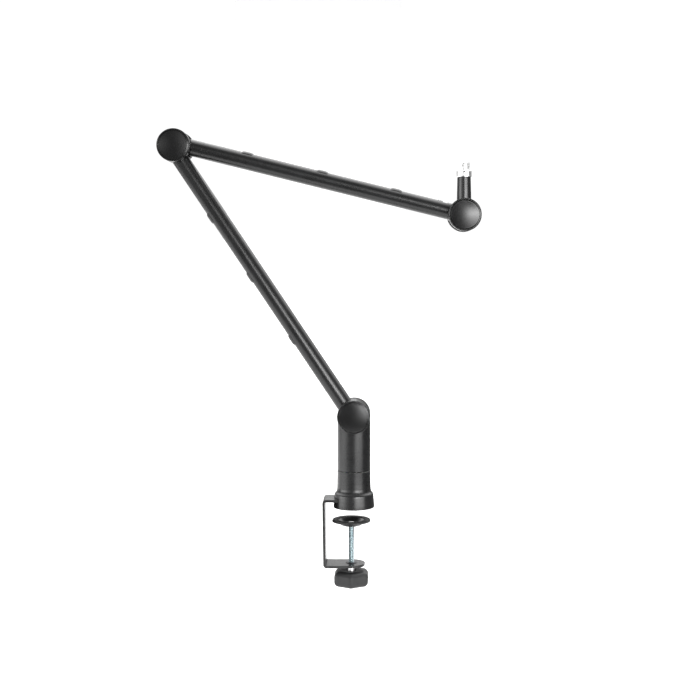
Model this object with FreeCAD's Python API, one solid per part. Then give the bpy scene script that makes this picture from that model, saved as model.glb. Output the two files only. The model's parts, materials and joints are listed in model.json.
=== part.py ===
import FreeCAD, Part
import os
import math

V = FreeCAD.Vector
os.makedirs("parts", exist_ok=True)

# Driving dimensions in millimetres. +Z is up and +Y points away from the front.
# Origin: the middle of the base's underside, where it rests on the desk.

# joint centres as the arm stands
BASE_PIVOT = V(0, 0, 128)
ELBOW_PIVOT = V(-249.3, 0, 504.5)
MIC_PIVOT = V(154.2, 0, 408.4)

# how far each tube's ends lie outside the line of its pivots, on the cable channel's side
LOWER_OFFSETS = (2.3, 4.6)
UPPER_OFFSETS = (3.4, 0.1)

# limits, in degrees from the way the arm stands
ELBOW_CLOSE = 2.0
ELBOW_OPEN = 125.0
MIC_BACK = 10.0
MIC_FORWARD = 215.0

# every tilting joint: a round barrel in three slices, two cheeks with a knuckle between them
BARREL_R = 23.0
BARREL_INSIDE = 19.1
KNUCKLE_R = 22.6
INNER_KNUCKLE_R = 18.6
KNUCKLE_HALF = 11.6
CHEEK_IN = 12.2
CHEEK_OUT = 21.5
COUNTERBORE_FLOOR = 14.5
COUNTERBORE_R = 7.8
CAP_R = 22.9
CAP_T = 2.9
BOLT_R = 4.0
BOLT_HEAD_R = 7.0
NUT_FLATS = 13.0
BUSH_FLANGE_R = 15.0
BUSH_R = 5.5
CRANK_HALF = 3.0
CRANK_REACH = 10.0
CRANK_CAVITY_R = 14.8
CRANK_CAVITY_HALF = 3.6

# arms, drawn along +X on the tube's centre line, cable channel on the +Z side
TUBE_R = 11.65
TUBE_WALL = 1.3
PLUG_R = 10.3
PLUG_BORE = 7.4
PLUG_LENGTH = 26.0
NECK_R = 8.0
NECK_DROP = 2.0
COLLAR_END = 38.2
COVER_HALF = 5.4
COVER_GAP = 0.15
CABLE_EXIT = (33.3, 26.3)
CLIP_LENGTH = 16.0
CLIP_HALF = 7.0
CLIP_RISE = 1.5
SPRING_Z = -2.3
SPRING_R = 6.0
SPRING_WIRE = 1.6
LOWER_CLIPS = (136.1, 241.0, 340.1)
UPPER_CLIPS = (100.3, 208.1, 314.5)

# column
COLUMN_R = 23.0
COLUMN_BOTTOM = 51.9
SPINDLE_R = 8.0
SPINDLE_THREAD_R = 6.0
SPINDLE_LEDGE = 82.0

# base and desk clamp
BASE_TOP = 51.3
STRAP_T = 3.5
STRAP_HALF = 19.2
STRAP_OUTSIDE = -43.4
LEG_LEAN = 1.4
STRAP_TOP = 13.3
STRAP_BOTTOM = -81.3
SCREW_X = -3.6
SCREW_R = 4.0
BRACKET_SCREWS = ((-19.0, -9.0), (-19.0, 9.0))
PAD_TOP = -17.1
PAD_R = 27.0
PAD_FLOOR = -25.6
KNOB_TOP = -88.0
KNOB_BOTTOM = -109.2
KNOB_FLATS = 47.4
KNOB_ROUND = 7.0

# microphone stem
STEM_R_LOW = 10.3
STEM_R_TOP = 9.35
STEM_TOP = 461.6
ADAPTER_FLANGE_R = 10.5
ADAPTER_FLANGE_TOP = 470.7
ADAPTER_THREAD_R = 7.94
ADAPTER_TOP = 481.6
STUD_R = 4.76


def save(name, shape):
    """Write one piece; a boolean result holding one solid is written as that solid."""
    if len(shape.Solids) == 1:
        shape = shape.Solids[0]
    assert shape.isValid(), name
    shape.exportStep("parts/" + name + ".step")


def bar(r, start, end):
    """Round bar between two points."""
    axis = end - start
    return Part.makeCylinder(r, axis.Length, start, axis)


def cross_bar(r, y0, y1, x=0.0, z=0.0):
    """Round bar along Y."""
    return bar(r, V(x, y0, z), V(x, y1, z))


def upright(r, z0, z1, x=0.0, y=0.0):
    """Round bar along Z."""
    return bar(r, V(x, y, z0), V(x, y, z1))


def along(r, x0, x1, z=0.0, y=0.0):
    """Round bar along X, on the tube's centre line unless z is given."""
    return bar(r, V(x0, y, z), V(x1, y, z))


def block(x0, x1, y0, y1, z0, z1):
    return Part.makeBox(x1 - x0, y1 - y0, z1 - z0, V(x0, y0, z0))


def turned(points, x=0.0):
    """Revolve a closed outline of (radius, height) about the upright axis at x."""
    outline = [V(x + r, 0, z) for r, z in points]
    face = Part.Face(Part.makePolygon(outline + outline[:1]))
    return face.revolve(V(x, 0, 0), V(0, 0, 1), 360)


def hexagon(flats, start, end, corner=0.0):
    """Six-sided bar between two points, with its first corner at the angle given."""
    r = flats / math.sqrt(3)
    ring = [
        V(r * math.cos(math.radians(corner + 60 * i)), r * math.sin(math.radians(corner + 60 * i)), 0)
        for i in range(6)
    ]
    face = Part.Face(Part.makePolygon(ring + ring[:1]))
    prism = face.extrude(V(0, 0, (end - start).Length))
    prism.Placement = FreeCAD.Placement(start, FreeCAD.Rotation(V(0, 0, 1), end - start))
    return prism


def moved(shape, offset):
    copy = shape.copy()
    copy.translate(offset)
    return copy


def sector(r0, r1, half, low, high):
    """Part of a ring about the Y axis between two angles, counted from +X towards +Z."""
    outline = [V(r0, -half, 0), V(r1, -half, 0), V(r1, half, 0), V(r0, half, 0)]
    face = Part.Face(Part.makePolygon(outline + outline[:1]))
    face.rotate(V(0, 0, 0), V(0, -1, 0), low)
    return face.revolve(V(0, 0, 0), V(0, -1, 0), high - low)


def edges_where(shape, test):
    return [e for e in shape.Edges if test(e)]


# ---------------------------------------------------------------- joint hardware


def cheek_holes():
    """Bolt bore, a round recess at each end for the head and the nut, and a hollow ring under each cap."""
    holes = cross_bar(BOLT_R + 0.2, -CHEEK_OUT, CHEEK_OUT)
    for side in (-1, 1):
        holes = holes.fuse(cross_bar(COUNTERBORE_R, side * COUNTERBORE_FLOOR, side * (CHEEK_OUT + 4)))
        ring = cross_bar(CAP_R - 2.6, side * (CHEEK_IN + 2.4), side * CHEEK_OUT)
        holes = holes.fuse(ring.cut(cross_bar(COUNTERBORE_R + 2.2, side * CHEEK_IN, side * (CHEEK_OUT + 1))))
    return holes


def bolt():
    shank = cross_bar(BOLT_R, -COUNTERBORE_FLOOR, 20.6)
    head = cross_bar(BOLT_HEAD_R, -19.5, -COUNTERBORE_FLOOR)
    socket = hexagon(6.0, V(0, -19.5, 0), V(0, -16.3, 0))
    body = shank.fuse(head).cut(socket)
    rim = edges_where(body, lambda e: abs(e.BoundBox.YMax + 19.5) < 0.01 and e.BoundBox.XLength > 13)
    return body.makeChamfer(0.6, rim)


def nut():
    body = hexagon(NUT_FLATS, V(0, COUNTERBORE_FLOOR + 0.02, 0), V(0, 20.4, 0))
    cone = Part.makeCone(NUT_FLATS / 2 + 4.2, NUT_FLATS / 2 - 0.3, 4.5, V(0, 16.2, 0), V(0, 1, 0))
    sleeve = cross_bar(NUT_FLATS / 2 + 4.2, COUNTERBORE_FLOOR, 16.2)
    return body.common(cone.fuse(sleeve)).cut(cross_bar(BOLT_R + 0.02, 10, 25))


def friction_bush(side):
    """Top-hat bush pressed into the knuckle; its flange rubs on the cheek."""
    flange = cross_bar(BUSH_FLANGE_R, side * (KNUCKLE_HALF - 0.7), side * (CHEEK_IN - 0.1))
    sleeve = cross_bar(BUSH_R - 0.03, side * (CRANK_CAVITY_HALF + 0.1), side * (KNUCKLE_HALF - 0.7))
    return flange.fuse(sleeve).cut(cross_bar(BOLT_R + 0.05, -30, 30))


def crank():
    """Lever keyed to the bolt; the counterbalance spring pulls on its eye."""
    hub = cross_bar(7.4, -CRANK_HALF, CRANK_HALF)
    arm = block(-3.8, 3.8, -1.6, 1.6, 0, CRANK_REACH)
    eye = cross_bar(3.8, -1.6, 1.6, 0, CRANK_REACH)
    body = hub.fuse(arm).fuse(eye)
    body = body.cut(cross_bar(2.05, -5, 5, 0, CRANK_REACH))
    return body.cut(cross_bar(BOLT_R + 0.02, -5, 5))


def cap(side):
    """Snap-on disc over the bolt, with a fine ring groove in its face."""
    disc = cross_bar(CAP_R, side * CHEEK_OUT, side * (CHEEK_OUT + CAP_T))
    face_y = side * (CHEEK_OUT + CAP_T)
    rim = edges_where(disc, lambda e: abs(e.BoundBox.Center.y - face_y) < 0.01 and e.BoundBox.YLength < 0.01)
    disc = disc.makeFillet(1.2, rim)
    floor_y = face_y - side * 0.45
    groove = cross_bar(CAP_R - 1.9, floor_y, face_y).cut(cross_bar(CAP_R - 2.6, floor_y, face_y))
    collar = cross_bar(COUNTERBORE_R - 0.1, side * (CHEEK_OUT - 1.0), side * CHEEK_OUT)
    collar = collar.cut(cross_bar(COUNTERBORE_R - 1.4, side * (CHEEK_OUT - 1.0), side * CHEEK_OUT))
    return disc.cut(groove).fuse(collar)


def save_joint(name, pivot, with_crank):
    """The pieces that stay with the fork: bolt, nut, caps and, at the sprung joints, the crank."""
    save(name + "_bolt", moved(bolt(), pivot))
    save(name + "_nut", moved(nut(), pivot))
    save(name + "_cap_front", moved(cap(-1), pivot))
    save(name + "_cap_rear", moved(cap(1), pivot))
    if with_crank:
        save(name + "_crank", moved(crank(), pivot))


# ---------------------------------------------------------------- arm pieces


class Arm:
    """One arm as drawn: the tube's centre line is the X axis, and each pivot lies below it by its offset."""

    def __init__(self, start, end, start_offset, end_offset):
        line = end - start
        self.run = math.sqrt(line.Length ** 2 - (end_offset - start_offset) ** 2)
        self.first = V(0, 0, -start_offset)
        self.last = V(self.run, 0, -end_offset)
        drawn = math.degrees(math.atan2(start_offset - end_offset, self.run))
        self.angle = math.degrees(math.atan2(line.z, line.x)) - drawn
        turn = FreeCAD.Rotation(V(0, 1, 0), -self.angle)
        self.frame = FreeCAD.Placement(start - turn.multVec(self.first), turn)

    def place(self, shape):
        copy = shape.copy()
        copy.Placement = self.frame.multiply(copy.Placement)
        return copy


LOWER = Arm(BASE_PIVOT, ELBOW_PIVOT, *LOWER_OFFSETS)
UPPER = Arm(ELBOW_PIVOT, MIC_PIVOT, *UPPER_OFFSETS)


def knuckle_core(r, with_crank):
    """Disc between the cheeks, and the bores for the two friction bushes."""
    body = cross_bar(r, -KNUCKLE_HALF, KNUCKLE_HALF)
    tools = cross_bar(BUSH_R, -KNUCKLE_HALF, KNUCKLE_HALF)
    for side in (-1, 1):
        tools = tools.fuse(
            cross_bar(BUSH_FLANGE_R + 0.1, side * (KNUCKLE_HALF - 0.72), side * (KNUCKLE_HALF + 1))
        )
    if with_crank:
        tools = tools.fuse(cross_bar(CRANK_CAVITY_R, -CRANK_CAVITY_HALF, CRANK_CAVITY_HALF))
    return body, tools


def arm_knuckle(arm, r, tube_start):
    """Knuckle and tube plug at the first end of an arm. A small knuckle also gets a neck and a collar."""
    disc, tools = knuckle_core(r, True)
    body = moved(disc, arm.first)
    tools = moved(tools, arm.first)
    if r < BARREL_INSIDE:
        body = body.fuse(along(NECK_R, 0, 25, -NECK_DROP))
        collar = along(TUBE_R, 12, tube_start)
        rim = edges_where(collar, lambda e: e.BoundBox.XMin > tube_start - 0.01)
        collar = collar.makeChamfer(0.35, rim)
        body = body.fuse(collar.cut(moved(cross_bar(BARREL_R + 0.5, -30, 30), arm.first)))
    plug_end = tube_start + PLUG_LENGTH
    body = body.fuse(along(PLUG_R, 24 if r < BARREL_INSIDE else 10, plug_end))
    tools = tools.fuse(block(0, 27, -CRANK_CAVITY_HALF, CRANK_CAVITY_HALF, SPRING_Z - 3.8, SPRING_Z + 6))
    tools = tools.fuse(along(PLUG_BORE, 26, plug_end + 1))
    return body.cut(tools), plug_end


def tube(arm, start, slot_start, slot_end):
    """Round tube with the cable channel's slot along its top; it butts against the barrels."""
    wall = along(TUBE_R, start, arm.run - 8).cut(along(TUBE_R - TUBE_WALL, start - 1, arm.run))
    slot_half = COVER_HALF + COVER_GAP
    wall = wall.cut(block(slot_start, slot_end, -slot_half, slot_half, 0, 20))
    wall = wall.cut(moved(cross_bar(BARREL_R + 0.05, -30, 30), arm.last))
    return wall.cut(moved(cross_bar(KNUCKLE_R + 0.1, -30, 30), arm.first))


def clip(x):
    """Low latch that holds the channel cover: a curved pad with a peg through the cover."""
    pad = along(TUBE_R + CLIP_RISE, x - CLIP_LENGTH / 2, x + CLIP_LENGTH / 2)
    top = [e for e in pad.Edges if e.BoundBox.XLength < 0.01]
    pad = pad.makeFillet(1.2, top)
    pad = pad.cut(along(TUBE_R + 0.05, x - 20, x + 20))
    keep = block(x - 20, x + 20, -CLIP_HALF, CLIP_HALF, 0, 20)
    peg = upright(1.8, TUBE_R - 3.2, TUBE_R + 1.0, x)
    foot = upright(2.6, TUBE_R - 3.2, TUBE_R - 2.2, x)
    return pad.common(keep).fuse(peg).fuse(foot)


def cover(start, end, clips):
    """Strip that closes the cable channel flush with the tube, with two inner lips."""
    wall = along(TUBE_R, start, end).cut(along(TUBE_R - TUBE_WALL, start - 1, end + 1))
    strip = wall.common(block(start, end, -COVER_HALF, COVER_HALF, 0, 20))
    root = TUBE_R - TUBE_WALL
    for side in (-1, 1):
        inner, outer = sorted((side * (COVER_HALF - 1.2), side * COVER_HALF))
        strip = strip.fuse(block(start + 1, end - 1, inner, outer, root - 3.5, root - 1.0))
    for x in clips:
        strip = strip.cut(upright(1.9, 0, 30, x))
    return strip


def fork(arm, low, high, cable_exit):
    """Hollow barrel at the far end of an arm, open between two angles, with a plug in the tube's end."""
    plug_start = arm.run - BARREL_R - PLUG_LENGTH
    body = moved(cross_bar(BARREL_R, -CHEEK_OUT, CHEEK_OUT), arm.last)
    body = body.fuse(along(PLUG_R, plug_start, arm.run - 14))
    body = body.cut(along(PLUG_BORE, plug_start - 1, arm.run - BARREL_R - 3))
    anchor = cross_bar(2.0, -9, 9, plug_start + 8, SPRING_Z).common(along(9.0, plug_start, arm.run))
    body = body.fuse(anchor)
    body = body.cut(moved(cross_bar(BARREL_INSIDE, -CHEEK_IN, CHEEK_IN), arm.last))
    body = body.cut(moved(cheek_holes(), arm.last))
    body = body.cut(moved(sector(BARREL_INSIDE - 2, BARREL_R + 4, CHEEK_IN, low, high), arm.last))
    if cable_exit:
        body = body.cut(block(plug_start - 1, arm.run - CABLE_EXIT[1], -6.0, 6.0, 4.2, 20))
    return body, plug_start


def spring(start, end):
    """Close-wound extension spring: coil body with a loop at each end."""
    coil = along(SPRING_R, start + 4.6, end - 9, SPRING_Z)
    coil = coil.cut(along(SPRING_R - SPRING_WIRE, start, end, SPRING_Z))
    ring_a = Part.makeTorus(3.2, SPRING_WIRE / 2, V(start + 3.2, 0, SPRING_Z), V(0, 0, 1))
    ring_b = Part.makeTorus(3.2, SPRING_WIRE / 2, V(end, 0, SPRING_Z), V(0, 1, 0))
    disc_a = along(SPRING_R - 0.4, start + 4.6, start + 6.2, SPRING_Z)
    disc_b = along(SPRING_R - 0.4, end - 10.6, end - 9, SPRING_Z)
    tang = along(SPRING_WIRE / 2, end - 10, end - 2.9, SPRING_Z)
    return coil.fuse(ring_a).fuse(ring_b).fuse(disc_a).fuse(disc_b).fuse(tang)


def pull_link(start, end):
    """Flat link between the crank's eye and the spring's first loop."""
    strip = block(start, end, -1.2, 1.2, SPRING_Z - 3.2, SPRING_Z + 3.2)
    tips = [e for e in strip.Edges if e.BoundBox.YLength > 2.3 and e.BoundBox.XLength < 0.01]
    strip = strip.makeFillet(3.0, tips)
    strip = strip.cut(cross_bar(1.7, -3, 3, end - 3.4, SPRING_Z))
    return strip.cut(cross_bar(1.7, -3, 3, start + 3.4, SPRING_Z))


def save_arm(name, arm, knuckle_r, tube_start, clips, fork_name, window, cable_exit):
    first, plug_end = arm_knuckle(arm, knuckle_r, tube_start)
    last, last_plug = fork(arm, window[0], window[1], cable_exit)
    slot_end = arm.run - CABLE_EXIT[1] if cable_exit else last_plug - 1
    cover_end = arm.run - CABLE_EXIT[0] if cable_exit else slot_end - 0.3
    wall_start = tube_start if knuckle_r < BARREL_INSIDE else 8
    pieces = {
        name + "_knuckle": first,
        name + "_bush_front": moved(friction_bush(-1), arm.first),
        name + "_bush_rear": moved(friction_bush(1), arm.first),
        name + "_tube": tube(arm, wall_start, plug_end + 1, slot_end),
        name + "_channel_cover": cover(plug_end + 1.3, cover_end, clips),
        name + "_pull_link": pull_link(18.5, plug_end + 4),
        name + "_spring": spring(plug_end - 0.2, last_plug + 8),
        fork_name: last,
    }
    for number, x in enumerate(clips):
        pieces[name + "_clip_" + str(number + 1)] = clip(x)
    for node, shape in pieces.items():
        save(node, arm.place(shape))


def window_for(direction, low_turn, high_turn, below, above):
    """Angles a barrel must leave open for a neck that swings, with its half-widths below and above."""
    low = direction - low_turn - math.degrees(math.asin(below / BARREL_INSIDE)) - 2.0
    high = direction + high_turn + math.degrees(math.asin(above / BARREL_INSIDE)) + 2.0
    return low, high


# ---------------------------------------------------------------- column


def column_housing():
    top = BASE_PIVOT.z
    shell = turned([
        (0, COLUMN_BOTTOM), (COLUMN_R - 0.4, COLUMN_BOTTOM), (COLUMN_R, COLUMN_BOTTOM + 0.4),
        (COLUMN_R, top - 22), (BARREL_R, top), (0, top),
    ])
    body = shell.fuse(moved(cross_bar(BARREL_R, -CHEEK_OUT, CHEEK_OUT), BASE_PIVOT))
    for side in (-1, 1):
        body = body.cut(moved(cross_bar(CAP_R + 0.2, side * CHEEK_OUT, side * 30), BASE_PIVOT))
    body = body.cut(moved(cross_bar(KNUCKLE_R + 0.7, -CHEEK_IN, CHEEK_IN), BASE_PIVOT))
    body = body.cut(block(-30, 30, -CHEEK_IN, CHEEK_IN, top - 7, top + 30))
    body = body.cut(moved(cheek_holes(), BASE_PIVOT))
    body = body.cut(upright(11.0, COLUMN_BOTTOM - 1, SPINDLE_LEDGE - 4.1))
    body = body.cut(upright(SPINDLE_R + 0.4, COLUMN_BOTTOM, SPINDLE_LEDGE + 1))
    body = body.cut(upright(17.5, SPINDLE_LEDGE - 0.1, top - 24))
    pocket = upright(20.0, COLUMN_BOTTOM - 1, SPINDLE_LEDGE - 5).cut(upright(13.5, 0, top))
    body = body.cut(pocket)
    return body.cut(upright(20.1, COLUMN_BOTTOM - 1, COLUMN_BOTTOM + 1.1))


def swivel_bush():
    """Top-hat bush pressed into the column; it turns on the spindle."""
    sleeve = upright(11.0, COLUMN_BOTTOM - 0.5, SPINDLE_LEDGE - 4.2)
    flange = upright(20.0, COLUMN_BOTTOM - 0.5, COLUMN_BOTTOM + 1.1)
    return sleeve.fuse(flange).cut(upright(SPINDLE_R + 0.05, 0, 100))


# ---------------------------------------------------------------- base


def strap_slot(margin):
    """The space the bracket's upper plate takes inside the base."""
    z0, z1 = STRAP_TOP - STRAP_T - margin, STRAP_TOP + margin
    half = STRAP_HALF + margin
    return block(-40, 0.5, -half, half, z0, z1).fuse(upright(half, z0, z1, 0.5))


def base_housing():
    body = turned([
        (0, 0.3), (28.3, 0.3), (28.7, 0.7), (28.5, 5.0), (27.9, 12.0), (27.4, 17.0), (27.1, 18.6),
        (26.4, 20.0), (25.4, 21.2), (24.6, 22.4), (24.0, 24.2), (23.6, 27.0), (23.35, 34.0),
        (23.2, 42.0), (23.1, BASE_TOP - 0.4), (22.7, BASE_TOP), (0, BASE_TOP),
    ])
    hollow = turned([
        (13.0, 0), (24.0, 0), (24.0, 15.0), (23.0, 18.5), (21.0, 23.0), (20.6, 34.0), (20.4, BASE_TOP - 4.5),
        (13.0, BASE_TOP - 4.5),
    ])
    for x, y in BRACKET_SCREWS:
        hollow = hollow.cut(upright(5.4, STRAP_TOP, 23, x, y))
        hollow = hollow.cut(block(-24, x, y - 1.2, y + 1.2, STRAP_TOP, 23))
    body = body.cut(hollow)
    body = body.cut(upright(25.2, 0, 3.0))
    body = body.cut(strap_slot(0.1))
    body = body.cut(upright(13.1, 0, STRAP_TOP + 4.2))
    body = body.cut(upright(SPINDLE_R + 0.1, 0, BASE_TOP + 1))
    for x, y in BRACKET_SCREWS:
        body = body.cut(upright(5.2, 0, STRAP_TOP - 1, x, y))
        body = body.cut(upright(2.52, 0, 19.2, x, y))
    return body


def clamp_bracket():
    """Bent steel strap: upper plate inside the base, leg, lower plate with the nut."""
    left, right = STRAP_OUTSIDE, STRAP_OUTSIDE + STRAP_T
    upper, lower = STRAP_TOP - STRAP_T, STRAP_BOTTOM + STRAP_T
    outline = [
        V(30, 0, STRAP_TOP), V(left, 0, STRAP_TOP), V(left + LEG_LEAN, 0, STRAP_BOTTOM),
        V(30, 0, STRAP_BOTTOM), V(30, 0, lower), V(right + LEG_LEAN, 0, lower), V(right, 0, upper),
        V(30, 0, upper),
    ]
    face = Part.Face(Part.makePolygon(outline + outline[:1]))
    body = face.extrude(V(0, 2 * STRAP_HALF, 0))
    body.translate(V(0, -STRAP_HALF, 0))
    middle = (left + right + LEG_LEAN) / 2
    bends = edges_where(body, lambda e: e.BoundBox.YLength > 30 and e.BoundBox.XMax < middle)
    body = body.makeFillet(5.0, bends)
    bends = edges_where(body, lambda e: e.BoundBox.YLength > 30 and 0 < e.BoundBox.XMax - middle < 4)
    body = body.makeFillet(1.5, bends)
    for x, z0, z1 in ((0.5, 5, 20), (SCREW_X, -90, -70)):
        corner = block(x, 40, -30, 30, z0, z1).cut(upright(STRAP_HALF, z0, z1, x))
        body = body.cut(corner)
    for x, y in BRACKET_SCREWS:
        body = body.cut(upright(2.75, 0, 20, x, y))
    return body.cut(upright(7.0, -90, -70, SCREW_X))


def bracket_screw(x, y):
    seat = STRAP_TOP - STRAP_T
    head = upright(4.6, seat - 3.4, seat - 0.02, x, y)
    shank = upright(2.5, seat - 1, 19.0, x, y)
    socket = moved(hexagon(3.0, V(0, 0, seat - 4), V(0, 0, seat - 1.6)), V(x, y, 0))
    return head.fuse(shank).cut(socket)


def foot_pad():
    pad = upright(25.1, 0, 3.0)
    rim = edges_where(pad, lambda e: abs(e.BoundBox.ZMax) < 0.01)
    return pad.makeChamfer(0.4, rim)


def swivel_spindle():
    flange = upright(12.0, STRAP_TOP + 0.05, STRAP_TOP + 4.1)
    post = upright(SPINDLE_R, STRAP_TOP + 4, SPINDLE_LEDGE)
    thread = upright(SPINDLE_THREAD_R, SPINDLE_LEDGE - 1, 96.5)
    return flange.fuse(post).fuse(thread)


def spindle_nut():
    washer = upright(11.6, SPINDLE_LEDGE + 0.02, SPINDLE_LEDGE + 2)
    body = hexagon(19.0, V(0, 0, SPINDLE_LEDGE + 1.9), V(0, 0, SPINDLE_LEDGE + 12))
    return washer.fuse(body).cut(upright(SPINDLE_THREAD_R + 0.02, 70, 110))


def clamp_nut():
    """Threaded bush riveted through the lower plate."""
    seat = STRAP_BOTTOM + STRAP_T
    body = upright(6.9, STRAP_BOTTOM - 0.7, seat + 0.5, SCREW_X)
    boss = upright(7.6, seat + 0.02, seat + 0.9, SCREW_X)
    rim = edges_where(boss, lambda e: e.BoundBox.ZMin > seat + 0.8)
    boss = boss.makeChamfer(0.5, rim)
    return body.fuse(boss).cut(upright(SCREW_R + 0.06, -100, -60, SCREW_X))


# ---------------------------------------------------------------- clamp screw and pad


def pressure_pad():
    """Pressed steel dish with a flat rim; the screw's neck turns in its floor."""
    rim_top = PAD_TOP - 1.2
    body = turned([
        (3.06, PAD_FLOOR), (10.6, PAD_FLOOR), (13.0, PAD_FLOOR + 1.2), (18.2, rim_top - 1.9),
        (19.6, rim_top - 1.5), (PAD_R - 0.4, rim_top - 1.5), (PAD_R, rim_top - 1.1),
        (PAD_R, rim_top - 0.3), (PAD_R - 0.3, rim_top), (18.4, rim_top), (17.0, rim_top - 0.6),
        (12.0, PAD_FLOOR + 2.6), (10.2, PAD_FLOOR + 1.6), (3.06, PAD_FLOOR + 1.6),
    ], SCREW_X)
    return body


def pad_ring():
    """Rubber ring bonded to the rim; it bears on the underside of the desk."""
    ring = upright(PAD_R - 0.5, PAD_TOP - 1.2, PAD_TOP, SCREW_X)
    ring = ring.cut(upright(18.6, PAD_TOP - 2, PAD_TOP + 1, SCREW_X))
    rims = edges_where(ring, lambda e: e.BoundBox.ZMin > PAD_TOP - 0.01)
    return ring.makeFillet(0.35, rims)


def clamp_screw():
    thread = upright(SCREW_R, KNOB_BOTTOM + 5, PAD_FLOOR - 0.15, SCREW_X)
    foot = edges_where(thread, lambda e: e.BoundBox.ZMin > PAD_FLOOR - 1)
    thread = thread.makeChamfer(0.5, foot)
    return thread.fuse(upright(3.0, PAD_FLOOR - 1, PAD_FLOOR + 3.6, SCREW_X))


def pad_rivet():
    """Washer and peened head that keep the dish on the screw."""
    washer = upright(6.2, PAD_FLOOR + 1.7, PAD_FLOOR + 2.6, SCREW_X)
    head = upright(4.6, PAD_FLOOR + 2.6, PAD_FLOOR + 4.6, SCREW_X)
    rim = edges_where(head, lambda e: e.BoundBox.ZMin > PAD_FLOOR + 4.5)
    head = head.makeFillet(1.6, rim)
    return washer.fuse(head).cut(upright(3.02, PAD_FLOOR, PAD_FLOOR + 3.62, SCREW_X))


def clamp_knob():
    body = hexagon(KNOB_FLATS, V(0, 0, KNOB_BOTTOM), V(0, 0, KNOB_TOP), 90)
    body.translate(V(SCREW_X, 0, 0))
    body = body.makeFillet(5.0, edges_where(body, lambda e: e.BoundBox.ZLength > 20))
    body = body.makeFillet(KNOB_ROUND, edges_where(body, lambda e: e.BoundBox.ZMin > KNOB_TOP - 0.01))
    body = body.makeFillet(KNOB_ROUND, edges_where(body, lambda e: e.BoundBox.ZMax < KNOB_BOTTOM + 0.01))
    body = body.cut(upright(SCREW_R + 0.02, KNOB_BOTTOM + 5, KNOB_TOP + 1, SCREW_X))
    return body.cut(upright(4.82, KNOB_TOP - 6, KNOB_TOP + 1, SCREW_X))


def knob_collar():
    ring = upright(4.8, KNOB_TOP - 6, KNOB_TOP + 3.2, SCREW_X)
    top = edges_where(ring, lambda e: e.BoundBox.ZMin > KNOB_TOP + 3)
    ring = ring.makeChamfer(0.3, top)
    return ring.cut(upright(SCREW_R + 0.02, KNOB_TOP - 7, KNOB_TOP + 4, SCREW_X))


# ---------------------------------------------------------------- microphone head


def mic_stem():
    disc, tools = knuckle_core(INNER_KNUCKLE_R, False)
    height = STEM_TOP - MIC_PIVOT.z
    cone = Part.makeCone(STEM_R_LOW + 0.3, STEM_R_TOP, height)
    rim = edges_where(cone, lambda e: e.BoundBox.ZMin > height - 0.01)
    cone = cone.makeChamfer(0.4, rim)
    body = disc.fuse(cone).cut(tools)
    body = body.cut(upright(STUD_R + 0.02, height - 14, height + 1))
    return moved(body, MIC_PIVOT)


def thread_stud():
    stud = upright(STUD_R, STEM_TOP - 14, ADAPTER_TOP - 1.6, MIC_PIVOT.x)
    tip = edges_where(stud, lambda e: e.BoundBox.ZMin > ADAPTER_TOP - 2)
    return stud.makeChamfer(0.6, tip)


def thread_adapter():
    x = MIC_PIVOT.x
    flange = upright(ADAPTER_FLANGE_R, STEM_TOP + 0.05, ADAPTER_FLANGE_TOP, x)
    flange = flange.makeChamfer(0.5, [e for e in flange.Edges if e.BoundBox.ZLength < 0.01])
    sleeve = upright(ADAPTER_THREAD_R, ADAPTER_FLANGE_TOP - 1, ADAPTER_TOP, x)
    body = flange.fuse(sleeve).cut(upright(STUD_R + 0.02, STEM_TOP - 1, ADAPTER_TOP + 1, x))
    middle = 0.5 * (STEM_TOP + ADAPTER_FLANGE_TOP)
    grub = bar(1.3, V(x, -12, middle), V(x, -6.4, middle))
    return body.cut(grub)


elbow_window = window_for(
    UPPER.angle - LOWER.angle, ELBOW_CLOSE, ELBOW_OPEN,
    NECK_R + NECK_DROP - UPPER_OFFSETS[0], NECK_R - NECK_DROP + UPPER_OFFSETS[0],
)
mic_window = window_for(90 - UPPER.angle, MIC_FORWARD, MIC_BACK, STEM_R_LOW + 0.3, STEM_R_LOW + 0.3)
save_arm("lower_arm", LOWER, KNUCKLE_R, BARREL_R, LOWER_CLIPS, "elbow_fork", elbow_window, False)
save_arm("upper_arm", UPPER, INNER_KNUCKLE_R, COLLAR_END, UPPER_CLIPS, "mic_fork", mic_window, True)
save_joint("base_joint", BASE_PIVOT, True)
save_joint("elbow_joint", ELBOW_PIVOT, True)
save_joint("mic_joint", MIC_PIVOT, False)
save("mic_bush_front", moved(friction_bush(-1), MIC_PIVOT))
save("mic_bush_rear", moved(friction_bush(1), MIC_PIVOT))

save("column_housing", column_housing())
save("swivel_bush", swivel_bush())

save("base_housing", base_housing())
save("clamp_bracket", clamp_bracket())
save("bracket_screw_front", bracket_screw(*BRACKET_SCREWS[0]))
save("bracket_screw_rear", bracket_screw(*BRACKET_SCREWS[1]))
save("foot_pad", foot_pad())
save("swivel_spindle", swivel_spindle())
save("spindle_nut", spindle_nut())
save("clamp_nut", clamp_nut())

save("pressure_pad", pressure_pad())
save("pad_ring", pad_ring())
save("pad_rivet", pad_rivet())
save("clamp_screw", clamp_screw())
save("clamp_knob", clamp_knob())
save("knob_collar", knob_collar())

save("mic_stem", mic_stem())
save("thread_stud", thread_stud())
save("thread_adapter", thread_adapter())
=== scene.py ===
import json
import math

import bpy
from mathutils import Matrix, Vector


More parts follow.
